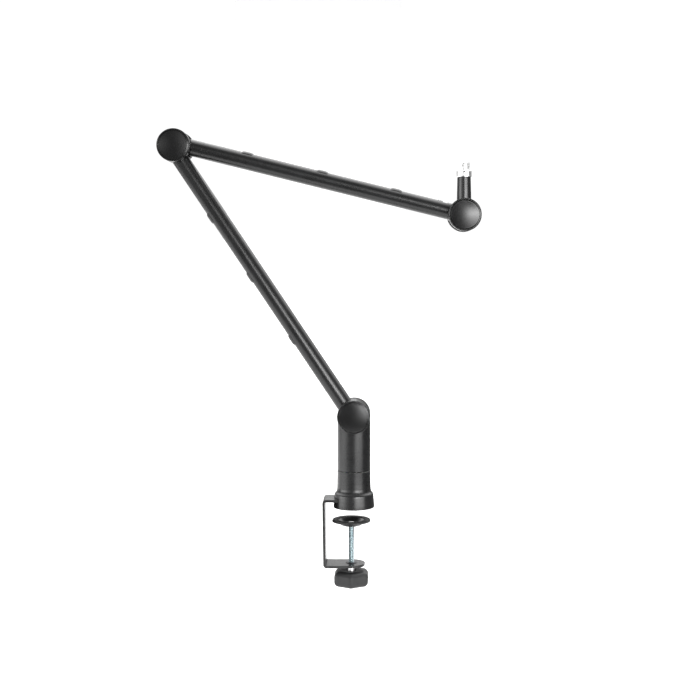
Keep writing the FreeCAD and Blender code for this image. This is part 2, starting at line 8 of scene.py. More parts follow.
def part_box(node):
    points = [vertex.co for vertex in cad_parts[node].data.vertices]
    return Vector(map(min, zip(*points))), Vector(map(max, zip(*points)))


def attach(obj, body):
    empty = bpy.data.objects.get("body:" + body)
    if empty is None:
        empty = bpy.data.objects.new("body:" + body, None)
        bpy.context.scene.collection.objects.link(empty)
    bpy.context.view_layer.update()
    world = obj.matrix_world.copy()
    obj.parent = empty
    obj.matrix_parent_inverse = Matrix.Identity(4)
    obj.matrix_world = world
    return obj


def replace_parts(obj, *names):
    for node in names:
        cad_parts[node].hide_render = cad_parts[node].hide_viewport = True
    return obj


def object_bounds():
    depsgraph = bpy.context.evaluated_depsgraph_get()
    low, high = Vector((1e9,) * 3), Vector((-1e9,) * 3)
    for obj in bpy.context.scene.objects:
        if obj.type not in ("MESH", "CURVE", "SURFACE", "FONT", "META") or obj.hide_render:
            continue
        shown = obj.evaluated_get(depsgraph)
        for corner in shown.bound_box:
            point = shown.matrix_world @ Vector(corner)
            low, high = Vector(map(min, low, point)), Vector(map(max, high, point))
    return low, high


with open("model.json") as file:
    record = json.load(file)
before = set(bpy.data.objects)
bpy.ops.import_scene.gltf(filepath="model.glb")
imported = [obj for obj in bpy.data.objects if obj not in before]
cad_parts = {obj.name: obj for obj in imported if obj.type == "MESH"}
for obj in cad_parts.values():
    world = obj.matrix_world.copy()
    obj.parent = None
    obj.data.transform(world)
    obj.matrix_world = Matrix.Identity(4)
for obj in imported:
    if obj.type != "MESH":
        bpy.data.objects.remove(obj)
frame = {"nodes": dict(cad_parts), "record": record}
nodes = frame["nodes"]
record = frame["record"]
cad_low, cad_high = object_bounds()

MM = 0.001
joints = {joint["name"]: joint for joint in record["behaviour"]["joints"]}
body_of = {node: body for body, members in record["behaviour"]["bodies"].items() for node in members}
slot_of = {part["node"]: part["material_slot"] for part in record["subparts"]}


# ---------------------------------------------------------------- shader helpers


class Nodes:
    """Short names for the shader nodes used below."""

    def __init__(self, tree):
        self.tree = tree
        tree.nodes.clear()

    def add(self, kind, **settings):
        node = self.tree.nodes.new(kind)
        for key, value in settings.items():
            setattr(node, key, value)
        return node

    def join(self, source, target):
        self.tree.links.new(source, target)

    def feed(self, socket, value):
        if isinstance(value, bpy.types.NodeSocket):
            self.join(value, socket)
        else:
            socket.default_value = value

    def math(self, operation, *values):
        node = self.add("ShaderNodeMath", operation=operation)
        for socket, value in zip(node.inputs, values):
            self.feed(socket, value)
        return node.outputs[0]

    def vary(self, base, value, amount):
        """base, moved up or down by a share of amount as the value leaves its middle, 0.5."""
        return self.math("ADD", self.math("MULTIPLY", self.math("SUBTRACT", value, 0.5), amount), base)

    def ramp(self, value, low, high, to_low=0.0, to_high=1.0):
        """Smooth step from to_low to to_high as the value goes from low to high."""
        node = self.add("ShaderNodeMapRange", interpolation_type="SMOOTHSTEP")
        for socket, item in zip(node.inputs, (value, low, high, to_low, to_high)):
            self.feed(socket, item)
        return node.outputs[0]

    def band(self, value, low, high, soft):
        """1 between low and high, falling softly to 0 on both sides."""
        rise = self.ramp(value, low - soft, low + soft)
        fall = self.ramp(value, high - soft, high + soft, 1.0, 0.0)
        return self.math("MULTIPLY", rise, fall)

    def noise(self, vector, scale, detail=2.0, roughness=0.5):
        node = self.add("ShaderNodeTexNoise")
        self.join(vector, node.inputs["Vector"])
        node.inputs["Scale"].default_value = scale
        node.inputs["Detail"].default_value = detail
        node.inputs["Roughness"].default_value = roughness
        return node.outputs[0]

    def cells(self, vector, scale):
        node = self.add("ShaderNodeTexVoronoi", feature="SMOOTH_F1")
        self.join(vector, node.inputs["Vector"])
        node.inputs["Scale"].default_value = scale
        return node.outputs["Distance"]

    def stretched(self, vector, x, y, z):
        node = self.add("ShaderNodeMapping")
        self.join(vector, node.inputs["Vector"])
        node.inputs["Scale"].default_value = (x, y, z)
        return node.outputs[0]

    def blend_colours(self, factor, first, second):
        node = self.add("ShaderNodeMix", data_type="RGBA")
        self.feed(node.inputs["Factor"], factor)
        self.feed(node.inputs["A"], first)
        self.feed(node.inputs["B"], second)
        return node.outputs["Result"]

    def bump(self, height, distance, under=None):
        node = self.add("ShaderNodeBump")
        node.inputs["Distance"].default_value = distance
        self.join(height, node.inputs["Height"])
        if under is not None:
            self.join(under, node.inputs["Normal"])
        return node.outputs[0]


def new_material(name):
    """A material with its node tree, its shader and the object's own coordinates."""
    material = bpy.data.materials.new(name)
    material.use_nodes = True
    n = Nodes(material.node_tree)
    shader = n.add("ShaderNodeBsdfPrincipled")
    output = n.add("ShaderNodeOutputMaterial")
    n.join(shader.outputs[0], output.inputs["Surface"])
    where = n.add("ShaderNodeTexCoord").outputs["Object"]
    return material, n, shader, where


def soft_edge(n, radius):
    """Normal that rounds sharp edges a little, as paint and moulding do."""
    node = n.add("ShaderNodeBevel", samples=4)
    node.inputs["Radius"].default_value = radius
    return node.outputs[0]


def grey(value, tint=0.0):
    """Neutral colour; a positive tint leans to blue."""
    return (value * (1 - 0.5 * tint), value, value * (1 + tint), 1.0)


def coated(name, dark, light, rough, grain, grain_depth, peel=0.0, dust=0.02, shine=0.5):
    """Black paint or moulded plastic: fine grain, cloudy tone, uneven gloss, faint dust."""
    material, n, shader, where = new_material(name)
    cloud = n.noise(where, 38.0, 4.0, 0.6)
    fine = n.noise(where, grain, 3.0, 0.65)
    speck = n.ramp(n.noise(where, grain * 0.55, 2.0), 0.68, 0.8)
    tone = n.blend_colours(n.ramp(cloud, 0.3, 0.7), grey(dark, 0.03), grey(light, 0.03))
    tone = n.blend_colours(n.math("MULTIPLY", speck, dust), tone, grey(0.22))
    n.join(tone, shader.inputs["Base Color"])
    n.join(n.vary(n.vary(rough, cloud, 0.12), fine, 0.10), shader.inputs["Roughness"])
    normal = n.bump(fine, grain_depth, under=soft_edge(n, 0.0004))
    if peel:
        normal = n.bump(n.noise(where, 420.0, 1.0), peel, under=normal)
    n.join(normal, shader.inputs["Normal"])
    shader.inputs["Specular IOR Level"].default_value = shine
    return material


def metal(name, colour, second, rough, depth=4e-6, edge=1.0):
    """Plated or bare metal: cloudy plating, fine marks, small dull spots."""
    material, n, shader, where = new_material(name)
    cloud = n.noise(where, 60.0, 3.0, 0.6)
    marks = n.noise(where, 900.0, 3.0, 0.7)
    spots = n.ramp(n.noise(where, 700.0, 2.0), 0.62, 0.72)
    n.join(n.blend_colours(n.ramp(cloud, 0.3, 0.7), colour, second), shader.inputs["Base Color"])
    gloss = n.math("ADD", n.math("MULTIPLY", spots, 0.12), n.vary(rough, marks, 0.25))
    n.join(gloss, shader.inputs["Roughness"])
    n.join(n.bump(marks, depth, under=soft_edge(n, 0.0002)), shader.inputs["Normal"])
    shader.inputs["Metallic"].default_value = 1.0
    shader.inputs["Specular Tint"].default_value = grey(edge)
    return material


def rubber(name):
    """Matt black rubber with fine pores."""
    material, n, shader, where = new_material(name)
    pores = n.cells(where, 1400.0)
    cloud = n.noise(where, 90.0, 3.0)
    n.join(n.blend_colours(cloud, grey(0.010), grey(0.020)), shader.inputs["Base Color"])
    n.join(n.math("ADD", n.math("MULTIPLY", cloud, 0.2), 0.62), shader.inputs["Roughness"])
    n.join(n.bump(pores, 3e-5), shader.inputs["Normal"])
    return material


def acetal(name):
    """Natural white bearing plastic with faint turning rings about the joint's axis."""
    material, n, shader, where = new_material(name)
    cloud = n.noise(where, 120.0, 3.0)
    rings = n.noise(n.stretched(where, 300, 4000, 300), 1.0, 2.0)
    colour = n.blend_colours(cloud, (0.72, 0.70, 0.64, 1), (0.80, 0.79, 0.74, 1))
    n.join(colour, shader.inputs["Base Color"])
    n.join(n.math("ADD", n.math("MULTIPLY", rings, 0.15), 0.32), shader.inputs["Roughness"])
    n.join(n.bump(rings, 6e-6), shader.inputs["Normal"])
    shader.inputs["Subsurface Weight"].default_value = 0.1
    shader.inputs["Subsurface Scale"].default_value = 0.002
    return material


materials = {
    "powder_black": coated("powder_black", 0.0060, 0.0090, 0.28, 2300.0, 1.6e-5, peel=2e-5),
    "cap_black": coated("cap_black", 0.0030, 0.0045, 0.24, 3200.0, 6e-6, dust=0.01),
    "cover_black": coated("cover_black", 0.0095, 0.0140, 0.34, 2000.0, 1.8e-5),
    "knob_black": coated("knob_black", 0.0150, 0.0200, 0.50, 1500.0, 3.0e-5, dust=0.03, shine=0.34),
    "zinc": metal("zinc", (0.46, 0.54, 0.57, 1), (0.52, 0.60, 0.62, 1), 0.24, edge=0.30),
    "nickel": metal("nickel", (0.90, 0.90, 0.90, 1), (0.96, 0.96, 0.95, 1), 0.34, depth=2e-6),
    "black_oxide": metal("black_oxide", (0.045, 0.045, 0.05, 1), (0.07, 0.07, 0.07, 1), 0.38),
    "spring_steel": metal("spring_steel", (0.40, 0.40, 0.41, 1), (0.50, 0.49, 0.48, 1), 0.28),
    "rubber_black": rubber("rubber_black"),
    "acetal": acetal("acetal"),
}
for name, thing in nodes.items():
    thing.data.materials.clear()
    thing.data.materials.append(materials[slot_of[name]])


# ---------------------------------------------------------------- mesh helpers


def mesh_object(name, points, faces, crease=None):
    """A new object in the scene. With a crease angle, its faces are shaded smooth up to that angle."""
    mesh = bpy.data.meshes.new(name)
    mesh.from_pydata(points, [], faces)
    mesh.validate()
    thing = bpy.data.objects.new(name, mesh)
    bpy.context.scene.collection.objects.link(thing)
    if crease is not None:
        for polygon in mesh.polygons:
            polygon.use_smooth = True
        mesh.set_sharp_from_angle(angle=math.radians(crease))
    return thing


def piece(name, points, faces, node, at=None, crease=35.0, slot=None):
    """A piece on a CAD node's body, in that node's material unless another slot is given."""
    slot = slot or slot_of[node]
    thing = mesh_object(name, [at @ p for p in points] if at else points, faces, crease)
    thing.data.materials.append(materials[slot])
    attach(thing, body_of[node])
    return thing


def build(name, points, faces, node, at=None, crease=35.0):
    """A piece that stands for a CAD node, on that node's body and in its material."""
    thing = piece(name, points, faces, node, at, crease)
    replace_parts(thing, node)
    return thing


def rings_to_faces(count, around, closed):
    """Faces between rings of points; closed joins the last ring to the first, else the ends are capped."""
    faces = []
    for i in range(count if closed else count - 1):
        a, b = i * around, ((i + 1) % count) * around
        for j in range(around):
            k = (j + 1) % around
            faces.append((a + j, a + k, b + k, b + j))
    if not closed:
        faces.append(tuple(reversed(range(around))))
        faces.append(tuple(range((count - 1) * around, count * around)))
    return faces


def lathe(rings, around=96, closed=True):
    """Turn a profile about Z. A ring is one (radius, height) pair, or a list of them round the turn."""
    points = []
    for ring in rings:
        for j in range(around):
            r, z = ring[j] if isinstance(ring, list) else ring
            turn = 2 * math.pi * j / around
            points.append(Vector((r * math.cos(turn), r * math.sin(turn), z)) * MM)
    return points, rings_to_faces(len(rings), around, closed)


def arc(cx, cz, r, start, end, steps):
    """Points on an arc in the (radius, height) plane, angles in degrees."""
    out = []
    for i in range(steps + 1):
        a = math.radians(start + (end - start) * i / steps)
        out.append((cx + r * math.cos(a), cz + r * math.sin(a)))
    return out


# widths of a thread's crest and root, as shares of its pitch, and rings of points to a pitch
CREST = 0.14
ROOT = 0.16
RINGS_PER_PITCH = 8


def thread_height(phase, depth):
    """How far a thread stands up from its root, over one pitch."""
    flank = (1 - CREST - ROOT) / 2
    if phase < CREST:
        return depth
    if phase < CREST + flank:
        return depth * (1 - (phase - CREST) / flank)
    if phase < CREST + flank + ROOT:
        return 0.0
    return depth * (phase - CREST - flank - ROOT) / flank


def threaded(major, minor, pitch, z0, z1, around, run_out, chamfer=0.6):
    """Rings of a screw thread from z0 up to z1, fading out at z0 and chamfered at z1."""
    rings = []
    count = max(2, round((z1 - z0) / pitch * RINGS_PER_PITCH))
    for i in range(count + 1):
        z = z0 + (z1 - z0) * i / count
        fade = min(1.0, (z - z0) / run_out)
        limit = min(major, minor + 0.15 + max(0.0, z1 - z) * (major - minor) / chamfer)
        ring = []
        for j in range(around):
            phase = (z / pitch - j / around) % 1.0
            height = thread_height(phase, major - minor)
            r = major - (major - minor - height) * fade
            ring.append((min(r, limit), z))
        rings.append(ring)
    return rings


def swept(path, r, sides):
    """Round wire along a list of points in millimetres."""
    points = []
    side = None
    for i, p in enumerate(path):
        ahead = path[min(i + 1, len(path) - 1)] - path[max(i - 1, 0)]
        ahead.normalize()
        if side is None:
            side = ahead.orthogonal().normalized()
        side = (side - ahead * side.dot(ahead)).normalized()
        up = ahead.cross(side)
        for j in range(sides):
            turn = 2 * math.pi * j / sides
            points.append((p + side * (r * math.cos(turn)) + up * (r * math.sin(turn))) * MM)
    return points, rings_to_faces(len(path), sides, False)


def span(node):
    """Outer radius, lowest and highest level of an upright round node, in millimetres."""
    low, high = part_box(node)
    return (high.x - low.x) / 2 / MM, low.z / MM, high.z / MM


def axis_of(node):
    """The move that puts a piece turned about Z on an upright node's own axis."""
    low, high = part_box(node)
    return Matrix.Translation(((low.x + high.x) / 2, 0, 0))


# ---------------------------------------------------------------- joint caps

CAP_THICK = 2.9
CROWN_STEPS = 24

# widths of the lip and of the groove inside it
CAP_LIP = 1.2
CAP_GROOVE = 1.6

# depths below the crown's middle: the lip's top, the crown's edge and the groove's floor
CAP_LIP_DROP = 0.7
CAP_CROWN = 1.5
CAP_GROOVE_FLOOR = 2.2


def cap_profile(r, t):
    """Crowned disc, a deep groove round it, and a thin rounded lip at the edge."""
    lip_in, face_r = r - CAP_LIP, r - CAP_LIP - CAP_GROOVE
    lip_r = CAP_LIP / 2
    edge = [(0.0, 0.0), (r - 0.3, 0.0), (r, 0.3)]
    edge += arc(r - lip_r, t - CAP_LIP_DROP - lip_r, lip_r, 0, 180, 10)
    floor = t - CAP_GROOVE_FLOOR
    groove = [(lip_in, floor), (face_r + 0.1, floor), (face_r, floor + 0.1)]
    shoulder_z = t - CAP_CROWN
    crown = arc(face_r - 0.5, shoulder_z - 0.5 + 0.12, 0.5, 0, 70, 5)
    inside = face_r - 0.45
    for i in range(1, CROWN_STEPS + 1):
        share = 1 - i / CROWN_STEPS
        crown.append((inside * share, shoulder_z + CAP_CROWN * (1 - share ** 2)))
    return edge + groove + crown


def joint_caps(joint, where):
    """The two caps of a tilt joint, facing away from each other."""
    for side, direction in (("front", -1), ("rear", 1)):
        node = f"{joint}_cap_{side}"
        low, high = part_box(node)
        r = (high.x - low.x) / 2 / MM
        face = (low if direction < 0 else high).y
        seat = Vector((where.x, face - direction * CAP_THICK * MM, where.z))
        turn = Matrix.Rotation(math.radians(90 if direction < 0 else -90), 4, "X")
        points, faces = lathe(cap_profile(r, CAP_THICK), around=144, closed=False)
        build(f"{joint}_domed_cap_{side}", points, faces, node, Matrix.Translation(seat) @ turn, 50.0)


for place in ("base", "elbow", "mic"):
    joint_caps(f"{place}_joint", Vector(joints[f"{place}_tilt"]["pos_m"]))


# ---------------------------------------------------------------- clamp screw

SCREW_R = 4.0
SCREW_PITCH = 1.25
SCREW_THREAD_DEPTH = 0.72
SCREW_STEPS = 48
NECK_R = 3.0
NECK_LENGTH = 3.7

screw_axis = axis_of("clamp_screw")


def clamp_screw():
    """Threaded rod with a plain neck on top, which turns in the pad."""
    _, low, high = span("clamp_screw")
    neck, root_r = high - NECK_LENGTH, SCREW_R - SCREW_THREAD_DEPTH
    rod = [(SCREW_R - 0.7, low)]
    rod += threaded(SCREW_R, root_r, SCREW_PITCH, low + 0.1, neck - 0.2, SCREW_STEPS, run_out=2.0)
    rod += [(NECK_R, neck), (NECK_R, high)]
    points, faces = lathe(rod, SCREW_STEPS, closed=False)
    build("clamp_screw_threaded", points, faces, "clamp_screw", screw_axis, 30.0)


clamp_screw()


# ---------------------------------------------------------------- knob and its collar

KNOB_FLATS = 47.4
KNOB_CORNER = 5.5
KNOB_HOLLOW = 0.35
KNOB_ROUND = 7.0
KNOB_TOP_ROUND = 8.0


def knob_outline(inset):
    """Six-sided outline, corners rounded and sides very slightly hollow, shrunk by inset."""
    reach = KNOB_FLATS / 2 - inset
    corner = max(1.2, KNOB_CORNER - inset * 0.45)
    centre = (reach - corner) / math.cos(math.radians(30))
    out = []
    for i in range(6):
        middle = 90 + 60 * i
        base = Vector((math.cos(math.radians(middle)), math.sin(math.radians(middle)), 0)) * centre
        for k in range(7):
            a = math.radians(middle - 30 + 60 * k / 6)
            out.append(base + Vector((math.cos(a), math.sin(a), 0)) * corner)
        turn = math.radians(middle + 30)
        normal = Vector((math.cos(turn), math.sin(turn), 0))
        ahead = math.radians(middle + 60)
        following = Vector((math.cos(ahead), math.sin(ahead), 0)) * centre
        start, end = base + normal * corner, following + normal * corner
        for k in range(1, 8):
            share = k / 8
            dip = KNOB_HOLLOW * math.sin(math.pi * share) * min(1.0, reach / 20)
            out.append(start.lerp(end, share) - normal * dip)
    return out


def clamp_knob():
    """Softly rounded knob, with a shallow recess underneath and another round the screw on top."""
    _, bottom, top = span("clamp_knob")
    turns = [math.radians(a) for a in range(0, 91, 9)]
    rows = [(19.5, bottom + 1.2), (14.5, bottom + 1.2), (13.6, bottom + 0.2), (12.8, bottom)]
    rows += [(KNOB_ROUND * (1 - math.sin(a)), bottom + KNOB_ROUND * (1 - math.cos(a))) for a in turns]
    rows += [(0.0, bottom + 9), (0.0, top - 10)]
    rows += [(KNOB_TOP_ROUND * (1 - math.cos(a)), top - KNOB_TOP_ROUND * (1 - math.sin(a))) for a in turns]
    rows += [(15.5, top), (16.3, top - 0.5), (17.9, top - 0.5), (18.2, top - 3.5)]
    points = []
    for inset, z in rows:
        points += [(p + Vector((0, 0, z))) * MM for p in knob_outline(inset)]
    faces = rings_to_faces(len(rows), len(knob_outline(0)), False)
    build("clamp_knob_soft", points, faces, "clamp_knob", screw_axis, 40.0)


def knob_collar():
    """Bright turned collar with a rounded top edge."""
    r, low, high = span("knob_collar")
    profile = [(SCREW_R + 0.02, low), (r, low)] + arc(r - 0.5, high - 0.5, 0.5, 0, 90, 4)
    profile += [(SCREW_R + 0.3, high), (SCREW_R + 0.02, high - 0.3)]
    points, faces = lathe(profile)
    build("knob_collar_turned", points, faces, "knob_collar", screw_axis)


clamp_knob()
knob_collar()


# ---------------------------------------------------------------- pressure pad, its ring and rivet

PAD_EDGE = 0.5
RING_DEPTH = 1.2
RING_IN = 18.6
RING_CROWNS = 6

ring_r, _, pad_top = span("pad_ring")
pad_r, rim = ring_r + PAD_EDGE, pad_top - RING_DEPTH


def pressure_pad():
    """Pressed bowl with a flat rim, one sheet thick, and a hole for the screw's neck."""
    floor = span("pressure_pad")[1]
    outer = [(NECK_R + 0.06, floor), (12.0, floor), (13.6, floor + 0.35), (15.2, floor + 1.4)]
    outer += [(16.8, floor + 3.0), (18.0, floor + 4.4), (19.3, rim - 1.9)]
    outer += [(22.0, rim - 1.8), (pad_r - 0.8, rim - 1.7)] + arc(pad_r - 0.8, rim - 0.85, 0.8, -80, 80, 8)
    inner = [(pad_r - 1.0, rim - 0.02), (19.2, rim - 0.02), (18.2, rim - 0.2), (17.2, rim - 1.2)]
    inner += [(15.6, floor + 4.0), (14.0, floor + 2.5), (12.6, floor + 1.8), (11.4, floor + 1.6)]
    inner += [(NECK_R + 0.06, floor + 1.6)]
    points, faces = lathe(outer + inner, around=128)
    build("pressure_pad_pressed", points, faces, "pressure_pad", screw_axis, 60.0)


def pad_ring():
    """Rubber ring on the rim, with round grooves in its face."""
    outer = pad_r - 0.6
    step = (outer - RING_IN) / RING_CROWNS
    profile = [(RING_IN, rim + 0.02), (outer, rim + 0.02), (ring_r, rim + 0.4)]
    for i in range(RING_CROWNS):
        start = outer - i * step
        profile += [(start - 0.12, pad_top - 0.12), (start - 0.35, pad_top), (start - step + 0.35, pad_top)]
        profile += [(start - step + 0.12, pad_top - 0.22)]
    profile += [(RING_IN, rim + 0.5)]
    points, faces = lathe(profile, around=128)
    build("pad_ring_grooved", points, faces, "pad_ring", screw_axis)


def pad_rivet():
    """Washer and rounded rivet head that hold the screw's neck in the pad."""
    _, low, high = span("pad_rivet")
    washer = [(NECK_R + 0.02, low), (6.0, low), (6.2, low + 0.2), (6.2, low + 0.7), (6.0, low + 0.9)]
    head = [(4.6, low + 0.92)] + arc(3.0, high - 1.6, 1.6, 0, 90, 6) + [(1.2, high), (0.9, high - 0.3)]
    inside = [(0.02, high - 0.35), (0.02, high - 0.8), (NECK_R + 0.02, high - 0.9)]
    points, faces = lathe(washer + head + inside, around=64)
    build("pad_rivet_peened", points, faces, "pad_rivet", screw_axis)


pressure_pad()
pad_ring()
pad_rivet()


# ---------------------------------------------------------------- rubber foot under the base

FOOT_GROOVES = 7
GROOVE_STEP = 2.6
GROOVE_DEPTH = 0.7


def foot_pad():
    """Flat rubber disc with round grooves in its underside."""
    r, _, top = span("foot_pad")
    profile = [(0.0, top), (r, top)] + arc(r - 0.5, 0.5, 0.5, 0, -90, 4)
    for i in range(FOOT_GROOVES):
        start = r - 2.0 - i * GROOVE_STEP
        profile += [(start, 0.0), (start - 0.2, GROOVE_DEPTH)]
        profile += [(start - 0.8, GROOVE_DEPTH), (start - 1.0, 0.0)]
    profile.append((0.0, 0.0))
    points, faces = lathe(profile[::-1], around=128, closed=False)
    build("foot_pad_grooved", points, faces, "foot_pad", crease=30.0)


foot_pad()


# ---------------------------------------------------------------- thread adapter on the stem

ADAPTER_R = 7.94
ADAPTER_ROOT_R = 7.36
ADAPTER_PITCH = 25.4 / 27
ADAPTER_BORE_R = 4.8
ADAPTER_STEPS = 96
FLANGE_TOP = 470.7

# the cross hole in the flange, and the hollow screw that sits in it
HOLE_R = 1.3
HOLE_SIDES = 32
HOLE_DROP = 1.9
HOLE_DEPTH = 3.5
GRUB_R = 1.28
GRUB_DEPTH = 3.0
GRUB_LENGTH = 2.85


def thread_adapter():
    """Sleeve with a flange below and a fine thread above; also gives the cross hole's place in front."""
    flange_r, low, high = span("thread_adapter")
    outer = [(ADAPTER_BORE_R, low), (flange_r - 0.5, low), (flange_r, low + 0.5)]
    outer += [(flange_r, FLANGE_TOP - 0.6), (flange_r - 0.6, FLANGE_TOP), (7.3, FLANGE_TOP)]
    thread = (ADAPTER_R, ADAPTER_ROOT_R, ADAPTER_PITCH)
    outer += threaded(*thread, FLANGE_TOP + 0.05, high - 0.02, ADAPTER_STEPS, run_out=0.9, chamfer=0.7)
    outer += [(7.0, high), (5.5, high), (ADAPTER_BORE_R, high - 0.7)]
    points, faces = lathe(outer, ADAPTER_STEPS)
    at = axis_of("thread_adapter")
    front = at.translation + Vector((0, -flange_r * MM, (FLANGE_TOP - HOLE_DROP) * MM))
    return build("thread_adapter_cut", points, faces, "thread_adapter", at, 25.0), front


def bore(thing, at):
    """Cut a blind round hole into a piece along Y, and keep only the finished mesh."""
    points = []
    for step in (-HOLE_DEPTH, HOLE_DEPTH):
        for j in range(HOLE_SIDES):
            turn = 2 * math.pi * j / HOLE_SIDES
            points.append((HOLE_R * math.cos(turn) * MM, HOLE_R * math.sin(turn) * MM, step * MM))
    drill = mesh_object("drill", points, rings_to_faces(2, HOLE_SIDES, False))
    along_y = Vector((0, 1, 0)).to_track_quat("Z", "Y").to_matrix().to_4x4()
    drill.matrix_world = Matrix.Translation(at) @ along_y
    cut = thing.modifiers.new("hole", "BOOLEAN")
    cut.object, cut.operation, cut.solver = drill, "DIFFERENCE", "EXACT"
    bpy.context.view_layer.update()
    finished = bpy.data.meshes.new_from_object(thing.evaluated_get(bpy.context.evaluated_depsgraph_get()))
    thing.modifiers.clear()
    thing.data = finished
    bpy.data.objects.remove(drill)


def adapter_grub_screw(at):
    """Hollow blackened screw, sunk in the cross hole."""
    socket_floor = 0.4
    profile = [(0.0, 0.0), (GRUB_R, 0.0), (GRUB_R, GRUB_LENGTH - 0.1), (GRUB_R - 0.06, GRUB_LENGTH)]
    profile += [(GRUB_R - 0.14, GRUB_LENGTH), (GRUB_R - 0.2, socket_floor), (0.0, socket_floor)]
    points, faces = lathe(profile, around=24, closed=False)
    seat = Matrix.Translation(at + Vector((0, GRUB_DEPTH * MM, 0)))
    facing = seat @ Matrix.Rotation(math.radians(90), 4, "X")
    piece("adapter_grub_screw", points, faces, "thread_adapter", facing, slot="black_oxide")


adapter, flange_front = thread_adapter()
bore(adapter, flange_front)
adapter_grub_screw(flange_front)


# ---------------------------------------------------------------- along the arms


class ArmLine:
    """An arm's own axes, read from the frame: along it, across it (+Y) and towards its cable channel."""

    def __init__(self, arm):
        ends = [sum(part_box(f"{arm}_clip_{i}"), Vector()) / 2 for i in (1, 3)]
        self.along = (ends[1] - ends[0]).normalized()
        self.up = self.along.cross(Vector((0, 1, 0)))
        low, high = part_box(f"{arm}_tube")
        self.tube_r = (high.y - low.y) / 2
        self.centre = self.reach(f"{arm}_tube", self.up)[0] + self.tube_r

    def reach(self, node, direction):
        """Where a node starts and ends in a direction, in metres."""
        values = [v.co.dot(direction) for v in nodes[node].data.vertices]
        return min(values), max(values)

    def at(self, x, y, z):
        """Point x mm along the arm, y mm behind its middle and z mm from the tube's centre line."""
        return self.along * (x * MM) + Vector((0, y * MM, 0)) + self.up * (self.centre + z * MM)


# ---------------------------------------------------------------- springs

WIRE = 1.6
WIRE_SIDES = 6
LOOP_R = 3.2
LOOP_STEPS = 20
COIL_R = 5.2
COIL_STEPS = 12
COIL_TAIL = 5.5


def wound_spring(arm):
    """Close-wound wire with a loop at each end, in the space of the CAD sleeve."""
    node, line = f"{arm}_spring", ArmLine(arm)
    start, end = (value / MM for value in line.reach(node, line.along))
    link = line.reach(f"{arm}_pull_link", line.up)
    z = ((link[0] + link[1]) / 2 - line.centre) / MM
    first, last = start + WIRE / 2 + LOOP_R, end - WIRE / 2 - LOOP_R
    path = []
    for i in range(LOOP_STEPS + 1):
        a = math.radians(25 + 315 * i / LOOP_STEPS)
        path.append((first + LOOP_R * math.cos(a), LOOP_R * math.sin(a), 0.0))
    coil_start, coil_end = first + LOOP_R - 0.4, last - LOOP_R - COIL_TAIL
    path += [(coil_start - 0.6, -2.4, 0.0), (coil_start - 0.2, -4.0, 0.0)]
    turns = round((coil_end - coil_start) / (WIRE * 1.01))
    for i in range(turns * COIL_STEPS + 1):
        a = math.pi + 2 * math.pi * i / COIL_STEPS
        x = coil_start + (coil_end - coil_start) * i / (turns * COIL_STEPS)
        path.append((x, COIL_R * math.cos(a), COIL_R * math.sin(a)))
    path += [(coil_end + 0.9, -4.2, 0.0), (coil_end + 2.0, -2.0, 0.0), (coil_end + 3.2, -0.5, 0.0)]
    path += [(coil_end + 4.4, 0.0, 0.0)]
    for i in range(LOOP_STEPS + 1):
        a = math.radians(180 + 325 * i / LOOP_STEPS)
        path.append((last + LOOP_R * math.cos(a), 0.0, LOOP_R * math.sin(a)))
    points, faces = swept([line.at(x, y, z + w) / MM for x, y, w in path], WIRE / 2, WIRE_SIDES)
    build(f"{arm}_spring_wound", points, faces, node, crease=60.0)


wound_spring("lower_arm")
wound_spring("upper_arm")


# ---------------------------------------------------------------- clips and ribs on the channel covers

SADDLE_ROWS = 16
SADDLE_COLUMNS = 14
SADDLE_SINK = 0.05
SADDLE_THICK = 0.2

CLIP_SPREAD = 40.0
CLIP_FLATNESS = 6

RIBS = 3
RIB_STEP = 2.4
RIB_WIDTH = 1.1
RIB_RISE = 0.7
RIB_SPREAD = 23.0
RIB_FLATNESS = 2
LAST_RIB_FROM_END = 1.6


def saddle(name, line, node, x0, x1, rise, spread, flatness):
    """Low crowned pad across the top of a tube, from x0 to x1 along it and spread degrees to each side."""
    tube_r = line.tube_r / MM - SADDLE_SINK
    points, faces = [], []
    for i in range(SADDLE_ROWS + 1):
        u = math.sin(math.pi * (i / SADDLE_ROWS - 0.5))
        for j in range(SADDLE_COLUMNS + 1):
            v = math.sin(math.pi * (j / SADDLE_COLUMNS - 0.5))
            a = math.radians(v * spread)
            r = tube_r + rise * (1 - abs(u) ** flatness) * (1 - abs(v) ** 2.6)
            x = (x0 + x1) / 2 + u * (x1 - x0) / 2
            points.append(line.at(x, r * math.sin(a), r * math.cos(a)))
    row = SADDLE_COLUMNS + 1
    for i in range(SADDLE_ROWS):
        for j in range(SADDLE_COLUMNS):
            start = i * row + j
            faces.append((start, start + 1, start + row + 1, start + row))
    thing = piece(name, points, faces, node, crease=60.0)
    solid = thing.modifiers.new("thickness", "SOLIDIFY")
    solid.thickness, solid.offset = SADDLE_THICK * MM, -1
    return thing


def soft_clips(arm):
    """The three clips, with their sides run down smoothly to the tube."""
    line = ArmLine(arm)
    for i in (1, 2, 3):
        node = f"{arm}_clip_{i}"
        x0, x1 = (value / MM for value in line.reach(node, line.along))
        rise = (line.reach(node, line.up)[1] - line.centre - line.tube_r) / MM
        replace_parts(saddle(f"{node}_soft", line, node, x0, x1, rise, CLIP_SPREAD, CLIP_FLATNESS), node)


